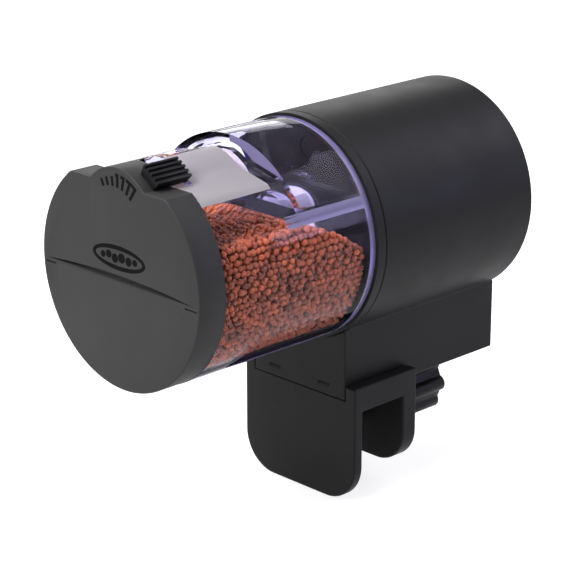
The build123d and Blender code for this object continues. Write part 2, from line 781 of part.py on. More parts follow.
with BuildPart() as clamp_bracket:
    with BuildSketch(across(leg_back)):
        with Locations((0, -axis_height + (bridge_thickness + bracket_ear) / 2)):
            Rectangle(2 * bracket_half_width, bridge_thickness + bracket_ear)
        with Locations((0, -axis_height + bridge_thickness + bracket_ear / 2)):
            Rectangle(2 * notch_half, bracket_ear, mode=Mode.SUBTRACT)
    extrude(amount=leg_back - plate_front)
    for front, back, drop, corner in (
        (plate_front, plate_front + plate_thickness, plate_drop, plate_corner),
        (rim_gap / 2, leg_back, leg_drop, leg_corner),
    ):
        with BuildSketch(across(back)) as hanging:
            with Locations((0, -axis_height - drop / 2)):
                Rectangle(2 * bracket_half_width, drop)
            fillet(hanging.vertices().group_by(Axis.Y)[0], corner)
        extrude(amount=back - front)
    bar(nut_radius, rim_gap / 2, leg_back, up=screw_up, mode=Mode.SUBTRACT)
finish(clamp_bracket, "clamp_bracket")

with BuildPart() as clamp_nut:
    tube(nut_radius, screw_radius + running, rim_gap / 2, leg_back, up=screw_up)
finish(clamp_nut, "clamp_nut")

pad_back = rim_gap / 2 - free
pad_front = pad_back - pad_thickness
screw_tip_radius = 2.2
screw_tip_depth = 2.0
with BuildPart() as pressure_pad:
    bar(pad_radius, pad_front, pad_back, up=screw_up)
    bar(screw_tip_radius + running, pad_back - screw_tip_depth, pad_back, up=screw_up, mode=Mode.SUBTRACT)
    fillet(pressure_pad.edges().filter_by(GeomType.CIRCLE).group_by(Axis.Y)[0], 0.6)
finish(pressure_pad, "pressure_pad")

clamp_knob_front = leg_back + screw_travel + 1
clamp_knob_back = clamp_knob_front + clamp_knob_length
screw_back = clamp_knob_back - 3
with BuildPart() as clamp_screw:
    bar(screw_tip_radius, pad_back - screw_tip_depth + running, pad_back + free / 2, up=screw_up)
    bar(screw_radius, pad_back + free / 2, screw_back, up=screw_up)
finish(clamp_screw, "clamp_screw")

lobe_radius = 2.5
with BuildPart() as clamp_knob:
    with BuildSketch(across(clamp_knob_back)):
        with Locations((0, screw_up)):
            Circle(clamp_knob_radius - 1.7)
            with PolarLocations(clamp_knob_radius - lobe_radius, clamp_knob_lobes):
                Circle(lobe_radius)
    extrude(amount=clamp_knob_length)
    bar(screw_radius, clamp_knob_front, screw_back, up=screw_up, mode=Mode.SUBTRACT)
finish(clamp_knob, "clamp_knob")
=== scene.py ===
"""Looks of the automatic aquarium feeder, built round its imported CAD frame."""

import json
import math

import bpy
import numpy as np
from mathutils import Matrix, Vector, kdtree

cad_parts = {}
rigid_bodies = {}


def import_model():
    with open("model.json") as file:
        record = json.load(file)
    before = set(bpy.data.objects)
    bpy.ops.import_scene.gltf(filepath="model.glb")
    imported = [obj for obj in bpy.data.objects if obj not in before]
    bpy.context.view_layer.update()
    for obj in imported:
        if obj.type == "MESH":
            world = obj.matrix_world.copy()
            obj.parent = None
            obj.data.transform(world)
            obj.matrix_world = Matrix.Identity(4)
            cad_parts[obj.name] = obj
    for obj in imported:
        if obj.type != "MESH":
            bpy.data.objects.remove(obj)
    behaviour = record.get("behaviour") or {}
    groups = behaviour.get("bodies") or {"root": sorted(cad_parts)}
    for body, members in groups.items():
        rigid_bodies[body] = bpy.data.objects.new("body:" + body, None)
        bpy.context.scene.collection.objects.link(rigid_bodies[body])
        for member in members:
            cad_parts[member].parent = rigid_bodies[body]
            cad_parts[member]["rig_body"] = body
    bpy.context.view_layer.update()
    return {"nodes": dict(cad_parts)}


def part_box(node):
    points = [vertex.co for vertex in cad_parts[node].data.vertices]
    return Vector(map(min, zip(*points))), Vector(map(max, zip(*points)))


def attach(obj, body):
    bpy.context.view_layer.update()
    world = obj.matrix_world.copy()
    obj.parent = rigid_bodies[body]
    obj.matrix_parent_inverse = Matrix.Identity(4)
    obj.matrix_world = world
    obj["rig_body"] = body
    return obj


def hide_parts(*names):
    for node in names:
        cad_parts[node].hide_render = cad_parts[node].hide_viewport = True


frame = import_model()

MM = 0.001

# ---- Places that come from the CAD frame, in metres ----
bezel_low, bezel_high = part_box("front_bezel")
axis = Vector(((bezel_low.x + bezel_high.x) / 2, 0, (bezel_low.z + bezel_high.z) / 2))
cap_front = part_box("drum_cap")[0].y
drum_low, drum_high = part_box("drum_shell")
bracket_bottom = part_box("clamp_bracket")[0].z
screw_low, screw_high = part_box("clamp_screw")
module_low, module_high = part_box("display_module")
panel_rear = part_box("rear_cover")[1].y
food_low, food_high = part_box("food_pellets")
bump_up = 15.4 * MM  # the feed tunnel's axis above the drum's axis
screw_z = (screw_low.z + screw_high.z) / 2
neck_length = 7 * MM  # the drum's neck inside the cap
tunnel_length = 31.4 * MM  # from the cap's edge back to the step
drum_front = drum_low.y + neck_length
step_at = drum_front + tunnel_length


# ---- Modelling helpers ----
facing_rear = (math.radians(90), 0, 0)  # turns a disc's or a ring's axis to lie along Y


def alone(piece):
    """Leaves one piece selected and active."""
    bpy.ops.object.select_all(action="DESELECT")
    piece.select_set(True)
    bpy.context.view_layer.objects.active = piece


def nothing_selected():
    """Clears the selection before a primitive is added."""
    if bpy.context.view_layer.objects.active:
        bpy.context.view_layer.objects.active.select_set(False)
    bpy.ops.object.select_all(action="DESELECT")


def edit_faces(piece, wanted):
    """Goes into edit mode with the faces selected that pass the test."""
    alone(piece)
    bpy.ops.object.mode_set(mode="EDIT")
    bpy.ops.mesh.select_mode(type="FACE")
    bpy.ops.mesh.select_all(action="DESELECT")
    bpy.ops.object.mode_set(mode="OBJECT")
    for face in piece.data.polygons:
        face.select = bool(wanted(face))
    bpy.ops.object.mode_set(mode="EDIT")


def edit_points(piece, wanted):
    """Goes into edit mode with the points selected that pass the test."""
    alone(piece)
    bpy.ops.object.mode_set(mode="EDIT")
    bpy.ops.mesh.select_mode(type="VERT")
    bpy.ops.mesh.select_all(action="DESELECT")
    bpy.ops.object.mode_set(mode="OBJECT")
    for point in piece.data.vertices:
        point.select = bool(wanted(point))
    bpy.ops.object.mode_set(mode="EDIT")


def edit_all(piece):
    """Goes into edit mode with everything selected."""
    alone(piece)
    bpy.ops.object.mode_set(mode="EDIT")
    bpy.ops.mesh.select_mode(type="VERT")
    bpy.ops.mesh.select_all(action="SELECT")


def done():
    """Back to object mode."""
    bpy.ops.object.mode_set(mode="OBJECT")


def settle(piece):
    """Puts the piece's place, turn and scale into its mesh."""
    alone(piece)
    bpy.ops.object.transform_apply(location=True, rotation=True, scale=True)


def soften(piece, width, segments=2, angle=35, smooth=35, clamped=True):
    """Rounds the edges sharper than an angle. Unclamped, the flat faces keep their own normals too."""
    alone(piece)
    rounding = piece.modifiers.new("rounded edges", "BEVEL")
    rounding.width = width
    rounding.segments = segments
    rounding.limit_method = "ANGLE"
    rounding.angle_limit = math.radians(angle)
    rounding.use_clamp_overlap = clamped
    bpy.ops.object.modifier_apply(modifier=rounding.name)
    bpy.ops.object.shade_smooth_by_angle(angle=math.radians(smooth))
    if not clamped:
        flats = piece.modifiers.new("flat faces", "WEIGHTED_NORMAL")
        flats.keep_sharp = True
        flats.weight = 100
        bpy.ops.object.modifier_apply(modifier=flats.name)


def paint_faces(piece, wanted, slot_number):
    """Gives the faces that pass the test one of the piece's finishes."""
    edit_faces(piece, wanted)
    piece.active_material_index = slot_number
    bpy.ops.object.material_slot_assign()
    done()


def cut_across(piece, place_on_cut, normal):
    """Adds edges where a plane crosses the piece."""
    edit_all(piece)
    bpy.ops.mesh.bisect(plane_co=place_on_cut, plane_no=normal)
    done()


def box_at(name, centre, size):
    """A block of a size at a place, still to be shaped."""
    nothing_selected()
    bpy.ops.mesh.primitive_cube_add(size=1, location=centre)
    block = bpy.context.object
    block.name = name
    block.scale = size
    settle(block)
    return block


def disc_at(name, centre, radius, depth, sides=32):
    """A round disc whose flat faces look along Y, still to be shaped."""
    nothing_selected()
    bpy.ops.mesh.primitive_cylinder_add(
        vertices=sides, radius=radius, depth=depth, location=centre, rotation=facing_rear
    )
    disc = bpy.context.object
    disc.name = name
    settle(disc)
    return disc


def joined(name, parts):
    """Several shaped parts as one piece."""
    bpy.ops.object.select_all(action="DESELECT")
    for part in parts:
        part.select_set(True)
    bpy.context.view_layer.objects.active = parts[0]
    if len(parts) > 1:
        bpy.ops.object.join()
    parts[0].name = name
    return parts[0]


def from_frame(node, name):
    """A copy of a CAD node as a clean mesh: doubles merged and flat faces made whole."""
    source = frame["nodes"][node]
    copy = bpy.data.objects.new(name, source.data.copy())
    bpy.context.scene.collection.objects.link(copy)
    copy.data.materials.clear()
    edit_all(copy)
    bpy.ops.mesh.customdata_custom_splitnormals_clear()
    bpy.ops.mesh.remove_doubles(threshold=0.0005 * MM)
    bpy.ops.mesh.dissolve_limited(angle_limit=math.radians(0.4))
    done()
    return copy


def place(piece, body, finish, slot, *nodes):
    """Gives a finished piece its material and its body, and says which nodes it stands for; the slot
    argument is not used.
    """
    piece.data.materials.clear()
    piece.data.materials.append(finish)
    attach(piece, body)
    if nodes:
        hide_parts(*nodes)
    return piece


def body_of(node):
    """The body that a CAD node belongs to."""
    return frame["nodes"][node]["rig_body"]


def dressed(node, name, finish, slot, round_mm, segments=2, clamped=True):
    """A CAD node's shape with its edges rounded, in place of the node."""
    piece = from_frame(node, name)
    soften(piece, round_mm * MM, segments, clamped=clamped)
    return place(piece, body_of(node), finish, slot, node)


# ---- Materials ----
def linear(code):
    """An sRGB hex colour as linear RGBA."""
    parts = [int(code[i : i + 2], 16) / 255 for i in (0, 2, 4)]
    return tuple(c / 12.92 if c <= 0.04045 else ((c + 0.055) / 1.055) ** 2.4 for c in parts) + (1.0,)


def add(tree, kind, values=None, links=None, **settings):
    """Adds a node with its settings, its sockets' values and the links into it."""
    made = tree.nodes.new(kind)
    for setting, value in settings.items():
        setattr(made, setting, value)
    for socket, value in (values or {}).items():
        made.inputs[socket].default_value = value
    for socket, source in (links or {}).items():
        tree.links.new(source, made.inputs[socket])
    return made


def new_material(name):
    """An empty material's node tree."""
    made = bpy.data.materials.new(name)
    made.use_nodes = True
    made.node_tree.nodes.clear()
    return made, made.node_tree


def per_metre(size_mm):
    """Pattern scale for a feature of a size in millimetres."""
    return 1 / (size_mm * MM)


def moulded_plastic(name, colour, worn, roughness, grain_mm, relief_mm, coat=0.0):
    """Opaque moulded plastic: eroded grain breaks up the sheen, and the gloss changes slowly."""
    made, tree = new_material(name)
    where = add(tree, "ShaderNodeTexCoord")
    grain = add(
        tree,
        "ShaderNodeTexNoise",
        {"Scale": per_metre(grain_mm), "Detail": 2.0, "Roughness": 0.6},
        {"Vector": where.outputs["Object"]},
    )
    handling = add(
        tree,
        "ShaderNodeTexNoise",
        {"Scale": per_metre(14), "Detail": 3.0, "Roughness": 0.55},
        {"Vector": where.outputs["Object"]},
    )
    gloss = add(
        tree,
        "ShaderNodeMapRange",
        {"From Min": 0.3, "From Max": 0.7, "To Min": roughness - 0.04, "To Max": roughness + 0.05},
        {"Value": handling.outputs["Fac"]},
    )
    shade = add(
        tree,
        "ShaderNodeMix",
        {6: linear(colour), 7: linear(worn)},
        {0: grain.outputs["Fac"]},
        data_type="RGBA",
    )
    relief = add(
        tree,
        "ShaderNodeBump",
        {"Strength": 0.5, "Distance": relief_mm * MM},
        {"Height": grain.outputs["Fac"]},
    )
    plastic = add(
        tree,
        "ShaderNodeBsdfPrincipled",
        {"IOR": 1.18, "Coat Weight": coat},
        {
            "Base Color": shade.outputs[2],
            "Roughness": gloss.outputs["Result"],
            "Normal": relief.outputs["Normal"],
        },
    )
    add(tree, "ShaderNodeOutputMaterial", None, {"Surface": plastic.outputs["BSDF"]})
    return made


def metal(name, colour, roughness, line_mm, relief_mm, stretch=(1, 0.05, 1)):
    """Bare or plated metal with fine tool lines along Y that stretch its highlights."""
    made, tree = new_material(name)
    where = add(tree, "ShaderNodeTexCoord")
    drawn = add(tree, "ShaderNodeMapping", {"Scale": stretch}, {"Vector": where.outputs["Object"]})
    lines = add(
        tree,
        "ShaderNodeTexNoise",
        {"Scale": per_metre(line_mm), "Detail": 2.0},
        {"Vector": drawn.outputs["Vector"]},
    )
    relief = add(
        tree,
        "ShaderNodeBump",
        {"Strength": 0.4, "Distance": relief_mm * MM},
        {"Height": lines.outputs["Fac"]},
    )
    gloss = add(
        tree,
        "ShaderNodeMapRange",
        {"To Min": roughness - 0.05, "To Max": roughness + 0.1},
        {"Value": lines.outputs["Fac"]},
    )
    surface = add(
        tree,
        "ShaderNodeBsdfPrincipled",
        {"Base Color": linear(colour), "Metallic": 1.0},
        {"Roughness": gloss.outputs["Result"], "Normal": relief.outputs["Normal"]},
    )
    add(tree, "ShaderNodeOutputMaterial", None, {"Surface": surface.outputs["BSDF"]})
    return made


def clear_plastic(name, colour, depth_colour, density, roughness, transmission, ior, ripple_mm):
    """Clear moulded plastic that lets lamps through, tinted where light runs a long way inside it."""
    made, tree = new_material(name)
    where = add(tree, "ShaderNodeTexCoord")
    flow = add(
        tree,
        "ShaderNodeTexNoise",
        {"Scale": per_metre(9), "Detail": 1.5},
        {"Vector": where.outputs["Object"]},
    )
    ripple = add(
        tree,
        "ShaderNodeBump",
        {"Strength": 0.5, "Distance": ripple_mm * MM},
        {"Height": flow.outputs["Fac"]},
    )
    body = add(
        tree,
        "ShaderNodeBsdfPrincipled",
        {
            "Base Color": linear(colour),
            "Roughness": roughness,
            "IOR": ior,
            "Transmission Weight": transmission,
        },
        {"Normal": ripple.outputs["Normal"]},
    )
    open_to_lamps = add(tree, "ShaderNodeBsdfTransparent", {"Color": linear(colour)})
    ray = add(tree, "ShaderNodeLightPath")
    surface = add(
        tree,
        "ShaderNodeMixShader",
        None,
        {0: ray.outputs["Is Shadow Ray"], 1: body.outputs["BSDF"], 2: open_to_lamps.outputs["BSDF"]},
    )
    output = add(tree, "ShaderNodeOutputMaterial", None, {"Surface": surface.outputs["Shader"]})
    if density:
        tint = add(tree, "ShaderNodeVolumeAbsorption", {"Color": linear(depth_colour), "Density": density})
        tree.links.new(tint.outputs["Volume"], output.inputs["Volume"])
    return made


# Spark-eroded black ABS: deep, barely warm black with a soft grey sheen
body_abs = moulded_plastic("black ABS, fine moulded", "171718", "1d1d1d", 0.45, 0.5, 0.012)
# Charcoal ABS: the cap's face is a shade lighter and more matt, so that it reads as a flat grey disc
cap_abs = moulded_plastic("charcoal ABS, matt moulded", "282828", "2e2e2e", 0.5, 0.5, 0.012)
# Satin black ABS: grips that fingers polish keep a tighter highlight
grip_abs = moulded_plastic("black ABS, satin moulded", "141415", "1a1a1b", 0.38, 0.5, 0.008)
# Grey ABS for the keys, lighter than the panel so that they can be found
key_abs = moulded_plastic("grey ABS keys, satin moulded", "5e6063", "66686b", 0.4, 0.4, 0.006)
feed_key_abs = moulded_plastic("light grey ABS key, satin moulded", "8a8d92", "93969b", 0.38, 0.4, 0.006)
# Pad-printed black ink, flatter and darker than the plastic under it
mark_ink = moulded_plastic("black pad-printing ink", "020202", "040404", 0.8, 0.3, 0.004)
# Grey pad-printed marks on the rear panel
panel_ink = moulded_plastic("pale grey pad-printing ink", "b9bbbd", "c2c4c6", 0.45, 0.3, 0.004)
# Natural acetal: waxy off-white
acetal = moulded_plastic("natural acetal, moulded", "e4e2da", "dddbd2", 0.35, 0.6, 0.006)
# Wool felt: dark, dull and fibrous
felt = moulded_plastic("grey wool felt, die cut", "4a4a4a", "2e2e2e", 0.95, 0.35, 0.12)
# Solder mask: green lacquer over copper, glossy
solder_mask = moulded_plastic("green solder mask, sprayed", "1c5a33", "174f2c", 0.25, 0.8, 0.01, 0.3)
# Moulded epoxy: dull black chip and switch bodies
epoxy = moulded_plastic("black epoxy, moulded", "26272a", "2e2f32", 0.55, 0.3, 0.01)
# PVC lead insulation: soft red sheen
lead_pvc = moulded_plastic("red PVC, extruded", "8c2018", "95261d", 0.4, 0.4, 0.004)
# Cell jackets: plain shrunk plastic film, glossy
cell_film = moulded_plastic("dark blue-grey PVC film, shrunk", "3b4452", "434c5a", 0.25, 0.8, 0.006, 0.4)
# Nitrile pad: dull black rubber
rubber = moulded_plastic("black nitrile rubber, moulded", "242424", "2d2d2d", 0.8, 0.4, 0.03)
# LCD glass: pale grey-green and even
lcd_glass = moulded_plastic("LCD glass, polarised", "a3ad9b", "a8b2a0", 0.2, 1.5, 0.0)
lcd_dark = moulded_plastic("LCD segments, switched on", "1b211d", "1f2521", 0.3, 0.4, 0.0)
# Zinc-plated steel: cool grey with fine turned lines
zinc_steel = metal("zinc-plated steel, turned", "b9bbbd", 0.3, 0.25, 0.004)
# Turned brass: warm yellow, sharper lines
turned_brass = metal("brass, turned", "c9a457", 0.28, 0.25, 0.004)
violet_depth = "9a92e4"
violet_density = 30.0
# Polished crystal styrene: hardly any colour face on, violet where the edges are looked along
clear_styrene = clear_plastic(
    "crystal styrene, polished", "fbfaff", violet_depth, violet_density, 0.02, 1.0, 1.12, 0.0
)
# Satin styrene: the eroded face of the same moulding scatters light into a pale pinkish grey
satin_styrene = clear_plastic(
    "crystal styrene, satin face", "d8d1d8", violet_depth, violet_density, 0.3, 0.72, 1.25, 0.02
)
# The thick ends of the shelf and of the folds gather light and glow violet; that glow is painted: a
# violet-tinted, less clear styrene on chosen faces stands in for the gathered light
painted_glow_styrene = clear_plastic(
    "crystal styrene, painted violet glow", "948cbc", violet_depth, violet_density, 0.12, 0.6, 1.25, 0.02
)
# Frosted styrene shutter: paler and more scattering than the drum round it
frosted_styrene = clear_plastic(
    "frosted styrene, eroded both faces", "d2cbce", "ffffff", 0.0, 0.4, 0.6, 1.4, 0.02
)
# Acrylic window: clear with a faint grey tint
clear_acrylic = clear_plastic("acrylic, polished", "e9eeee", "ffffff", 0.0, 0.02, 1.0, 1.49, 0.0)


def food_material():
    """Dried fish food: extruded pellets, each its own red-brown, dusty and pitted."""
    made, tree = new_material("dried fish food, extruded")
    tone = add(tree, "ShaderNodeAttribute", None, None, attribute_name="tone")
    where = add(tree, "ShaderNodeTexCoord")
    crumb = add(
        tree,
        "ShaderNodeTexNoise",
        {"Scale": per_metre(0.5), "Detail": 3.0},
        {"Vector": where.outputs["Object"]},
    )
    dark_to_mid = add(
        tree,
        "ShaderNodeMix",
        {6: linear("5a2711"), 7: linear("aa5229")},
        {0: tone.outputs["Fac"]},
        data_type="RGBA",
    )
    dust = add(
        tree,
        "ShaderNodeMapRange",
        {"From Min": 0.45, "From Max": 0.8, "To Min": 0.0, "To Max": 0.25},
        {"Value": crumb.outputs["Fac"]},
    )
    dusty = add(
        tree,
        "ShaderNodeMix",
        {7: linear("c27a48")},
        {0: dust.outputs["Result"], 6: dark_to_mid.outputs[2]},
        data_type="RGBA",
    )
    pits = add(
        tree,
        "ShaderNodeBump",
        {"Strength": 0.6, "Distance": 0.12 * MM},
        {"Height": crumb.outputs["Fac"]},
    )
    surface = add(
        tree,
        "ShaderNodeBsdfPrincipled",
        {"Roughness": 0.5, "IOR": 1.4},
        {"Base Color": dusty.outputs[2], "Normal": pits.outputs["Normal"]},
    )
    add(tree, "ShaderNodeOutputMaterial", None, {"Surface": surface.outputs["BSDF"]})
    return made


food = food_material()
# The bulk under the outer pellets, seen only as the dark between them: its colour is painted shade, a
# darker copy of the food that stands for the shadow between the pellets
food_painted_shade = moulded_plastic("dried fish food, painted shade", "3a1a10", "4a2215", 0.9, 0.8, 0.2)

# ---- Camera: a long lens from the cap's side, to the right and above ----
nothing_selected()
bpy.ops.object.camera_add(
    location=(0.429276, -0.438059, 0.240429), rotation=(math.radians(90 - 18.841), 0, math.radians(45.558))
)
camera = bpy.context.object
camera.name = "camera"
camera.data.sensor_width = 36
camera.data.lens = 133.88
bpy.context.scene.camera = camera

# ---- Round body and its bezel ----
dressed("housing_shell", "body_housing", body_abs, "black_abs", 0.4, 3, clamped=False)
dressed("front_bezel", "body_front_ring", body_abs, "black_abs", 0.12, 2, clamped=False)
dressed("clamp_bracket", "rim_bracket", body_abs, "black_abs", 0.6, 3, clamped=False)
dressed("rear_cover", "rear_panel", body_abs, "black_abs", 0.15, 2)
dressed("battery_door", "battery_hatch", body_abs, "black_abs", 0.3, 2)
dressed("gate_knob", "gate_grip", grip_abs, "knob_abs", 0.14, 2)
dressed("clamp_knob", "clamp_handwheel", grip_abs, "knob_abs", 0.7, 3)
dressed("pressure_pad", "clamp_pad", rubber, "pad_rubber", 0.2, 2)
dressed("rear_cover_screws", "panel_screws", zinc_steel, "steel", 0.12, 2)
dressed("hub_screw", "drum_hub_screw", zinc_steel, "steel", 0.1, 2)
dressed("drive_hub", "drum_drive_hub", acetal, "acetal", 0.3, 2)
dressed("clamp_nut", "clamp_insert", turned_brass, "brass", 0.15, 2)

# ---- Clear drum: polished outside, with the satin panel over the gate ----
satin_end = -47.0 * MM
satin_side = 1.0 * MM
satin_low = axis.z + 22.5 * MM
shelf_under, shelf_over = axis.z + 12.7 * MM, axis.z + 16.0 * MM
fold_under, fold_over = axis.z + 23.3 * MM, axis.z + 25.0 * MM
fold_side = 21.5 * MM
fold_length = 11 * MM
belly = axis.z - 27.0 * MM
rear_band = drum_high.y - 2.2 * MM
outer_reach = 32.6 * MM  # only the drum's outer wall lies further out than this
step_reach = 31.2 * MM
step_face_depth = 0.6 * MM

drum = from_frame("drum_shell", "clear_drum")
soften(drum, 0.25 * MM, 2, angle=40, smooth=30)
cut_across(drum, (0, satin_end, 0), (0, 1, 0))
cut_across(drum, (satin_side, 0, 0), (1, 0, 0))
place(drum, "drum", clear_styrene, "clear_styrene", "drum_shell")
drum.data.materials.append(satin_styrene)
drum.data.materials.append(painted_glow_styrene)


def on_satin_panel(face):
    """Outer faces of the roof's right side and of the right flat, in front of the step."""
    spot = face.center
    ahead = drum_front < spot.y < satin_end and spot.x > satin_side and spot.z > satin_low
    return ahead and face.normal.z > 0.3


def on_painted_glow_face(face):
    """Faces that get the painted violet glow: ends of the shelf, the fold before the step, the step's rim,
    the rear band and the underside.
    """
    spot = face.center
    reach = math.hypot(spot.x, spot.z - axis.z)
    outside = reach > outer_reach
    shelf_end = outside and spot.y > step_at and shelf_under < spot.z < shelf_over
    before_step = spot.x > fold_side and step_at - fold_length < spot.y < step_at
    fold = before_step and fold_under < spot.z < fold_over
    step_rim = reach > step_reach and abs(spot.y - step_at) < step_face_depth
    band = outside and spot.y > rear_band
    underside = outside and spot.z < belly
    return shelf_end or fold or step_rim or band or underside


paint_faces(drum, on_satin_panel, 1)
for level in (belly, shelf_under, shelf_over, fold_under, fold_over):
    cut_across(drum, (0, 0, level), (0, 0, 1))
cut_across(drum, (0, rear_band, 0), (0, 1, 0))
# painted violet glow on the thick ends, the step's rim, the rear band and the underside
paint_faces(drum, on_painted_glow_face, 2)

dressed("gate_shutter", "gate_window", frosted_styrene, "frosted_styrene", 0.15, 2)

# ---- Cap: face with its grip, the dial marks and the badge ----
dressed("drum_cap", "cap_shell", cap_abs, "cap_abs", 0.12, 2)

mark_rise = 0.06 * MM
mark_sink = 0.05 * MM
mark_outer = 13.2 * MM
mark_width = 0.95 * MM
mark_angles = [118.3, 108.3, 97.6, 87.3, 76.4, 65.2, 54.7]
first_mark_length = 2.2 * MM
last_mark_length = 3.6 * MM
marks_without_foot = 3
foot_step = 0.4 * MM
marks = []
for count, angle in enumerate(mark_angles):
    share = count / (len(mark_angles) - 1)
    length = first_mark_length + share * (last_mark_length - first_mark_length)
    middle_y = cap_front + (mark_sink - mark_rise) / 2
    mark_size = (length, mark_rise + mark_sink, mark_width)
    mark = box_at("mark", (mark_outer - length / 2, middle_y, 0), mark_size)
    if count >= marks_without_foot:
        edit_faces(mark, lambda face: face.normal.x > 0.9)
        bpy.ops.mesh.extrude_region_move(TRANSFORM_OT_translate={"value": (mark_width, 0, 0)})
        done()
        end = mark_outer
        edit_faces(mark, lambda face: face.normal.z > 0.9 and face.center.x > end)
        foot = foot_step * (count - marks_without_foot + 1)
        bpy.ops.mesh.extrude_region_move(TRANSFORM_OT_translate={"value": (0, 0, foot)})
        done()
    mark.rotation_euler = (0, -math.radians(angle), 0)
    mark.location = (0, 0, axis.z + bump_up)
    settle(mark)
    marks.append(mark)
dial = joined("dial_marks", marks)
soften(dial, 0.02 * MM, 1)
place(dial, "cap", mark_ink, "cap_abs")

badge_centre = Vector((0.3 * MM, cap_front, axis.z + 5.6 * MM))
badge_half = (10.4 * MM, 2.9 * MM)
ring_line = 1.3 * MM
nothing_selected()
bpy.ops.mesh.primitive_torus_add(
    major_segments=72,
    minor_segments=8,
    major_radius=1.0,
    minor_radius=0.5,
    location=badge_centre,
    rotation=facing_rear,
)
oval = bpy.context.object
oval.name = "badge_ring"
settle(oval)
# the ring becomes an oval of even line: each point keeps its turn and its side of the line
for point in oval.data.vertices:
    offset = point.co - badge_centre
    turn = math.atan2(offset.z, offset.x)
    outward = math.hypot(offset.x, offset.z) - 1.0
    reach_x = badge_half[0] + outward * ring_line
    reach_z = badge_half[1] + outward * ring_line
    point.co.x = badge_centre.x + reach_x * math.cos(turn)
    point.co.z = badge_centre.z + reach_z * math.sin(turn)
    point.co.y = badge_centre.y + offset.y * 2 * mark_rise
badge_parts = [oval]
badge_grains = [
    (-6.6, -0.1, 0.95),
    (-4.2, 0.4, 1.15),
    (-1.6, -0.3, 1.3),
    (1.2, 0.25, 1.4),
    (4.1, -0.15, 1.25),
    (6.7, 0.1, 0.95),
]
for x, z, radius in badge_grains:
    grain = disc_at(
        "badge_grain",
        badge_centre + Vector((x * MM, 0, z * MM)),
        radius * MM,
        2 * mark_rise,
        20,
    )
    edit_faces(grain, lambda face: face.normal.y < -0.9)
    bpy.ops.mesh.inset(thickness=0.2 * radius * MM)
    done()
    badge_parts.append(grain)
badge = joined("cap_badge", badge_parts)
bpy.ops.object.shade_smooth_by_angle(angle=math.radians(35))
place(badge, "cap", mark_ink, "cap_abs")

# ---- Clamp screw: a plated core with its rolled thread ----
thread_pitch = 1.0 * MM
thread_crest = 2.95 * MM
thread_root = 2.4 * MM
thread_start = 9.6 * MM
thread_turns = 15
waist = thread_root / thread_crest
core = from_frame("clamp_screw", "rod_core")
edit_faces(core, lambda face: math.hypot(face.center.x, face.center.z - screw_z) > thread_crest - 0.2 * MM)
bpy.ops.transform.resize(value=(waist, 1, waist), center_override=(0, 0, screw_z))
done()
soften(core, 0.1 * MM, 2)

# the thread's section is shaped beside the axis, then wound along it
section_size = thread_pitch * 0.8
section_middle = thread_root + thread_pitch * 0.3
section_outside = thread_root + thread_pitch * 0.7
nothing_selected()
bpy.ops.mesh.primitive_plane_add(size=section_size, location=(0, thread_start, screw_z))
thread = bpy.context.object
thread.name = "rod_thread"
edit_all(thread)
bpy.ops.transform.translate(value=(section_middle, 0, 0))
done()
edit_points(thread, lambda point: point.co.x > section_middle)
bpy.ops.transform.resize(value=(1, 0.15, 1), center_override=(0, thread_start, screw_z))
bpy.ops.transform.translate(value=(thread_crest - section_outside, 0, 0))
bpy.ops.mesh.select_all(action="SELECT")
bpy.ops.mesh.delete(type="ONLY_FACE")
done()
winding = thread.modifiers.new("winding", "SCREW")
winding.axis = "Y"
winding.screw_offset = thread_pitch
winding.iterations = thread_turns
winding.steps = 24
winding.render_steps = 24
winding.use_normal_calculate = True
bpy.ops.object.modifier_apply(modifier=winding.name)
edit_all(thread)
bpy.ops.mesh.fill_holes(sides=4)
bpy.ops.mesh.normals_make_consistent(inside=False)
done()
settle(thread)
bpy.ops.object.shade_smooth_by_angle(angle=math.radians(35))
rod = joined("clamp_rod", [core, thread])
place(rod, "clamp_screw", zinc_steel, "steel", "clamp_screw")


# ---- Food: pellets against the clear wall and on top, over a bulk coloured in painted shade ----
pellet_radius = 1.1 * MM
pellet_pitch = 2.12 * MM
wall_gap = 0.15 * MM
drum_bore = 31.3 * MM
neck_bore = 30.05 * MM
neck_back = -70.6 * MM
shell_depth = 3.2 * MM
hub_clear = 9.9 * MM
hub_front = -23.3 * MM
pile_level = 11.6 * MM
pile_fall = 11.0 * MM  # how much lower the pile is at the rear
heap_height = 6.0 * MM
heap_reach = 22 * MM
ripple_height = 0.5 * MM
grid_reach = 31 * MM
grid_top = 22 * MM
shake = 0.28 * MM
neighbours = 7
relaxing_rounds = 7


def pile_top(x, y):
    """Height of the food above the drum's axis: level in front, heaped at one side, lower at the rear."""
    behind = np.clip((y - step_at) / (food_high.y - step_at), 0, 1)
    to_the_side = np.clip(-x / heap_reach, 0, 1) ** 1.5
    before_step = np.clip((step_at - 3 * MM - y) / (8 * MM), 0, 1)
    heap = heap_height * to_the_side * before_step
    ripple = ripple_height * np.sin(x / (4.1 * MM)) * np.cos(y / (5.3 * MM))
    return pile_level + heap + ripple - behind**1.4 * pile_fall


def bore_at(y):
    """Inner radius round the food at a station."""
    return np.where(y < neck_back, neck_bore, drum_bore)


def spacing_layers():
    """Close-packed rows through the drum, shaken a little, kept near the pile's outside."""
    rng = np.random.default_rng(5)
    row = pellet_pitch * math.sqrt(3) / 2
    layer = pellet_pitch * math.sqrt(2 / 3)
    y_range = np.arange(food_low.y + pellet_radius, food_high.y - pellet_radius / 2, row)
    points = []
    for j, y in enumerate(y_range):
        for k, z in enumerate(np.arange(-grid_reach, grid_top, layer)):
            shift = pellet_pitch / 2 * ((j + k) % 2)
            for x in np.arange(-grid_reach + shift, grid_reach, pellet_pitch):
                points.append((x, y + (k % 2) * row / 3, z))
    spots = np.array(points)
    spots += rng.normal(0, shake, spots.shape)
    return spots


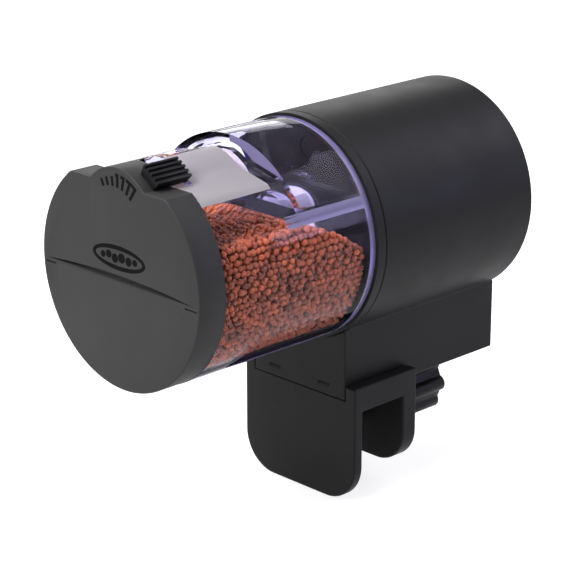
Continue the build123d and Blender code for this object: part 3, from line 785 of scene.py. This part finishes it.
def held_in(spots, radii):
    """Pushes pellets back inside the drum and off the drive socket."""
    x, y, z = spots.T
    limit = bore_at(y) - wall_gap - radii
    reach = np.hypot(x, z)
    squeeze = np.minimum(1, limit / np.maximum(reach, 1e-9))
    x, z = x * squeeze, z * squeeze
    y = np.clip(y, food_low.y + radii, food_high.y - radii)
    near_hub = (np.hypot(x, z) < hub_clear + radii) & (y > hub_front - radii)
    y = np.where(near_hub, hub_front - radii, y)
    z = np.minimum(z, pile_top(x, y) - radii * 0.4)
    return np.stack([x, y, z], 1)


def packed_pellets():
    """Places and sizes of the outer pellets after they have pushed each other apart."""
    rng = np.random.default_rng(8)
    spots = spacing_layers()
    x, y, z = spots.T
    inside = (np.hypot(x, z) < bore_at(y)) & (z < pile_top(x, y))
    spots = spots[inside]
    x, y, z = spots.T
    depth = np.minimum.reduce(
        [bore_at(y) - np.hypot(x, z), pile_top(x, y) - z, (y - food_low.y) * 1.6, (food_high.y - y) * 1.6]
    )
    spots = spots[depth < shell_depth]
    radii = pellet_radius * rng.uniform(0.82, 1.1, len(spots))
    for _ in range(relaxing_rounds):
        spots = held_in(spots, radii)
        tree = kdtree.KDTree(len(spots))
        for index, spot in enumerate(spots):
            tree.insert(spot, index)
        tree.balance()
        push = np.zeros_like(spots)
        for index, spot in enumerate(spots):
            for other_place, other, distance in tree.find_n(spot, neighbours):
                want = (radii[index] + radii[other]) * 0.94
                if other != index and 1e-9 < distance < want:
                    push[index] += (spot - np.array(other_place)) / distance * (want - distance) * 0.4
        spots = spots + push
    return held_in(spots, radii), radii


def modelled_pellet():
    """One pellet: a ball with flattened ends and a waist that isn't quite round."""
    nothing_selected()
    bpy.ops.mesh.primitive_uv_sphere_add(segments=8, ring_count=6, radius=1.0, location=(0, 0, 0))
    pellet = bpy.context.object
    pellet.name = "pellet"
    edit_all(pellet)
    bpy.ops.transform.resize(value=(1.04, 0.96, 0.86), center_override=(0, 0, 0))
    done()
    return pellet


pellet = modelled_pellet()
shape = np.array([p.co for p in pellet.data.vertices])
shape_faces = [list(f.vertices) for f in pellet.data.polygons]
bpy.data.objects.remove(pellet)
places, radii = packed_pellets()
turn_rng = np.random.default_rng(21)
heap_count = 3
order = np.argsort(places[:, 1])
for heap_index, group in enumerate(np.array_split(order, heap_count)):
    corners, faces, tones = [], [], []
    for count, index in enumerate(group):
        w, a, b, c = turn_rng.normal(0, 1, 4)
        length = math.sqrt(w * w + a * a + b * b + c * c)
        w, a, b, c = w / length, a / length, b / length, c / length
        turn = np.array(
            [
                [1 - 2 * (b * b + c * c), 2 * (a * b - w * c), 2 * (a * c + w * b)],
                [2 * (a * b + w * c), 1 - 2 * (a * a + c * c), 2 * (b * c - w * a)],
                [2 * (a * c - w * b), 2 * (b * c + w * a), 1 - 2 * (a * a + b * b)],
            ]
        )
        corners.append(shape @ turn.T * radii[index] + places[index] + np.array(axis))
        faces += [[corner + count * len(shape) for corner in face] for face in shape_faces]
        tones += [float(np.clip(turn_rng.normal(0.45, 0.24), 0, 1))] * len(shape)
    mesh = bpy.data.meshes.new(f"food_heap_{heap_index + 1}")
    mesh.from_pydata(np.concatenate(corners).tolist(), [], faces)
    mesh.attributes.new("tone", "FLOAT", "POINT").data.foreach_set("value", tones)
    heap = bpy.data.objects.new(mesh.name, mesh)
    bpy.context.scene.collection.objects.link(heap)
    alone(heap)
    bpy.ops.object.shade_smooth()
    place(heap, "drum", food, "food")

# the bulk, shrunk inside the outer pellets, carries the painted shade colour
bulk = from_frame("food_pellets", "food_bulk")
edit_all(bulk)
bpy.ops.transform.shrink_fatten(value=-1.9 * MM)
done()
place(bulk, "drum", food_painted_shade, "food", "food_pellets")

# ---- Rear panel: display, keys and marks ----
display = from_frame("display_module", "display_panel")
soften(display, 0.1 * MM, 1)
place(display, body_of("display_module"), epoxy, "electronics", "display_module")
display.data.materials.append(lcd_glass)
paint_faces(display, lambda face: face.normal.y > 0.9 and face.center.y > module_high.y - 0.1 * MM, 1)

digit_height = 8.4 * MM
digit_width = 4.2 * MM
digit_line = 0.8 * MM
digit_pitch = 5.8 * MM
segment_sets = {"0": "abcdef", "1": "bc", "2": "abged", "3": "abgcd"}
half = digit_height / 2
segment_places = {
    "a": (0, half, True),
    "g": (0, 0, True),
    "d": (0, -half, True),
    "f": (1, half / 2, False),
    "e": (1, -half / 2, False),
    "b": (-1, half / 2, False),
    "c": (-1, -half / 2, False),
}
display_z = (module_low.z + module_high.z) / 2
segment_rise = 0.06 * MM
dot_radius = 0.45 * MM
dot_pitch = 1.6 * MM
dot_above = 1.2 * MM
dot_rise = 0.1 * MM
ring_gap = 0.6 * MM
ring_radius = 0.22 * MM
dish_step = 0.5 * MM
dish_depth = 0.25 * MM
ink_y = module_high.y
segments = []
for column, figure in ((1.65, "1"), (0.65, "2"), (-0.65, "3"), (-1.65, "0")):
    for letter in segment_sets[figure]:
        side, up, level = segment_places[letter]
        width = digit_width - digit_line * 1.2 if level else digit_line
        height = digit_line if level else half - digit_line * 0.6
        spot = (column * digit_pitch + side * digit_width / 2, ink_y, display_z + up)
        segment = box_at("segment", spot, (width, segment_rise, height))
        edit_faces(segment, lambda face: abs(face.normal.x if level else face.normal.z) > 0.9)
        bpy.ops.mesh.inset(thickness=digit_line * 0.2, use_individual=True)
        done()
        segments.append(segment)
for up in (-1, 1):
    segments.append(disc_at("colon", (0, ink_y, display_z + up * half / 2.6), 0.5 * MM, segment_rise, 12))
digits = joined("display_digits", segments)
bpy.ops.object.shade_smooth_by_angle(angle=math.radians(30))
place(digits, "housing", lcd_dark, "electronics")

dressed("display_lens", "display_window", clear_acrylic, "lens_acrylic", 0.15, 2)

for node in ("mode_button", "set_button", "adjust_button", "feed_button"):
    key = from_frame(node, node.replace("button", "key"))
    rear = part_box(node)[1].y
    edit_faces(key, lambda face: face.normal.y > 0.999 and face.center.y > rear - 0.002 * MM)
    bpy.ops.mesh.inset(thickness=dish_step)
    bpy.ops.mesh.inset(thickness=dish_step)
    bpy.ops.transform.translate(value=(0, -dish_depth, 0))
    done()
    alone(key)
    bpy.ops.object.shade_smooth_by_angle(angle=math.radians(40))
    finish_of_key = feed_key_abs if node == "feed_button" else key_abs
    slot_of_key = "feed_button_abs" if node == "feed_button" else "button_abs"
    place(key, node, finish_of_key, slot_of_key, node)

key_dots = []
for count, node in enumerate(("mode_button", "set_button", "adjust_button")):
    low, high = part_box(node)
    for dot in range(count + 1):
        x = (low.x + high.x) / 2 + (dot - count / 2) * dot_pitch
        spot = (x, panel_rear, high.z + dot_above)
        key_dots.append(disc_at("dot", spot, dot_radius, dot_rise, 16))
low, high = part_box("feed_button")
nothing_selected()
bpy.ops.mesh.primitive_torus_add(
    major_segments=48,
    minor_segments=6,
    major_radius=(high.x - low.x) / 2 + ring_gap,
    minor_radius=ring_radius,
    location=((low.x + high.x) / 2, panel_rear, (low.z + high.z) / 2),
    rotation=facing_rear,
)
feed_ring = bpy.context.object
settle(feed_ring)
edit_all(feed_ring)
bpy.ops.transform.resize(value=(1, 0.25, 1), center_override=(0, panel_rear, 0))
done()
panel_marks = joined("panel_marks", [feed_ring] + key_dots)
bpy.ops.object.shade_smooth_by_angle(angle=math.radians(35))
place(panel_marks, "housing", panel_ink, "black_abs")

# ---- Inside parts keep the frame's own shapes ----
inside = {
    "output_gear": (acetal, "acetal"),
    "second_gear": (acetal, "acetal"),
    "first_gear": (acetal, "acetal"),
    "home_cam": (acetal, "acetal"),
    "gear_plate": (acetal, "acetal"),
    "hub_seal": (felt, "felt"),
    "motor_shaft": (zinc_steel, "steel"),
    "gear_axles": (zinc_steel, "steel"),
    "plate_screws": (zinc_steel, "steel"),
    "board_screws": (zinc_steel, "steel"),
    "battery_contacts": (zinc_steel, "steel"),
    "door_contact": (zinc_steel, "steel"),
    "gear_motor": (zinc_steel, "steel"),
    "motor_pinion": (turned_brass, "brass"),
    "circuit_board": (solder_mask, "board"),
    "control_chip": (epoxy, "electronics"),
    "tact_switches": (epoxy, "electronics"),
    "home_switch": (epoxy, "electronics"),
    "motor_leads": (lead_pvc, "lead_insulation"),
    "battery_cells": (cell_film, "cell_jacket"),
}
for node, (finish, slot) in inside.items():
    shown = frame["nodes"][node]
    shown.data.materials.clear()
    shown.data.materials.append(finish)

# ---- Floor, light and air ----
floor_drop = 0.2 * MM
nothing_selected()
bpy.ops.mesh.primitive_plane_add(size=6, location=(0, 0, bracket_bottom - floor_drop))
floor = bpy.context.object
floor.name = "floor"
floor_finish, floor_tree = new_material("pale studio floor, matt paint")
floor_where = add(floor_tree, "ShaderNodeTexCoord")
floor_noise = add(
    floor_tree, "ShaderNodeTexNoise", {"Scale": per_metre(30)}, {"Vector": floor_where.outputs["Object"]}
)
floor_shade = add(
    floor_tree,
    "ShaderNodeMix",
    {6: linear("a6a6a6"), 7: linear("aaaaaa")},
    {0: floor_noise.outputs["Fac"]},
    data_type="RGBA",
)
floor_paint = add(
    floor_tree,
    "ShaderNodeBsdfPrincipled",
    {"Roughness": 0.9, "Emission Color": (1, 1, 1, 1), "Emission Strength": 0.78},
    {"Base Color": floor_shade.outputs[2]},
)
add(floor_tree, "ShaderNodeOutputMaterial", None, {"Surface": floor_paint.outputs["BSDF"]})
floor.data.materials.append(floor_finish)

target = Vector((0, -0.02, 0.045))


def soft_light(name, place_from, size, power, colour):
    """A soft rectangular lamp that faces the feeder."""
    nothing_selected()
    bpy.ops.object.light_add(type="AREA", location=place_from)
    lamp = bpy.context.object
    lamp.name = name
    lamp.data.shape = "RECTANGLE"
    lamp.data.size, lamp.data.size_y = size
    lamp.data.energy = power
    lamp.data.color = colour
    lamp.rotation_euler = (target - Vector(place_from)).to_track_quat("-Z", "Y").to_euler()


soft_light("key", (-0.12, -0.95, 0.9), (0.6, 0.6), 20.0, (1, 1, 1))
soft_light("cool panel", (0.45, 0.85, 0.85), (0.8, 0.8), 9.0, (0.84, 0.84, 1.0))
soft_light("low cool panel", (0.85, 0.8, 0.32), (0.35, 0.25), 3.0, (0.62, 0.6, 1.0))
soft_light("cap lamp", (0.12, -0.5, 0.5), (0.2, 0.2), 1.3, (1, 1, 1))
soft_light("top", (-0.45, -0.1, 1.15), (0.9, 0.9), 16.0, (1, 1, 1))
soft_light("back rim", (-1.0, 0.95, 0.5), (0.7, 0.5), 3.0, (1, 1, 1))

world = bpy.data.worlds.new("white room")
bpy.context.scene.world = world
world.use_nodes = True
world.node_tree.nodes.clear()
air = add(world.node_tree, "ShaderNodeBackground", {"Color": (1, 1, 1, 1), "Strength": 0.2})
add(world.node_tree, "ShaderNodeOutputWorld", None, {"Surface": air.outputs["Background"]})
bpy.context.scene.view_settings.view_transform = "Standard"
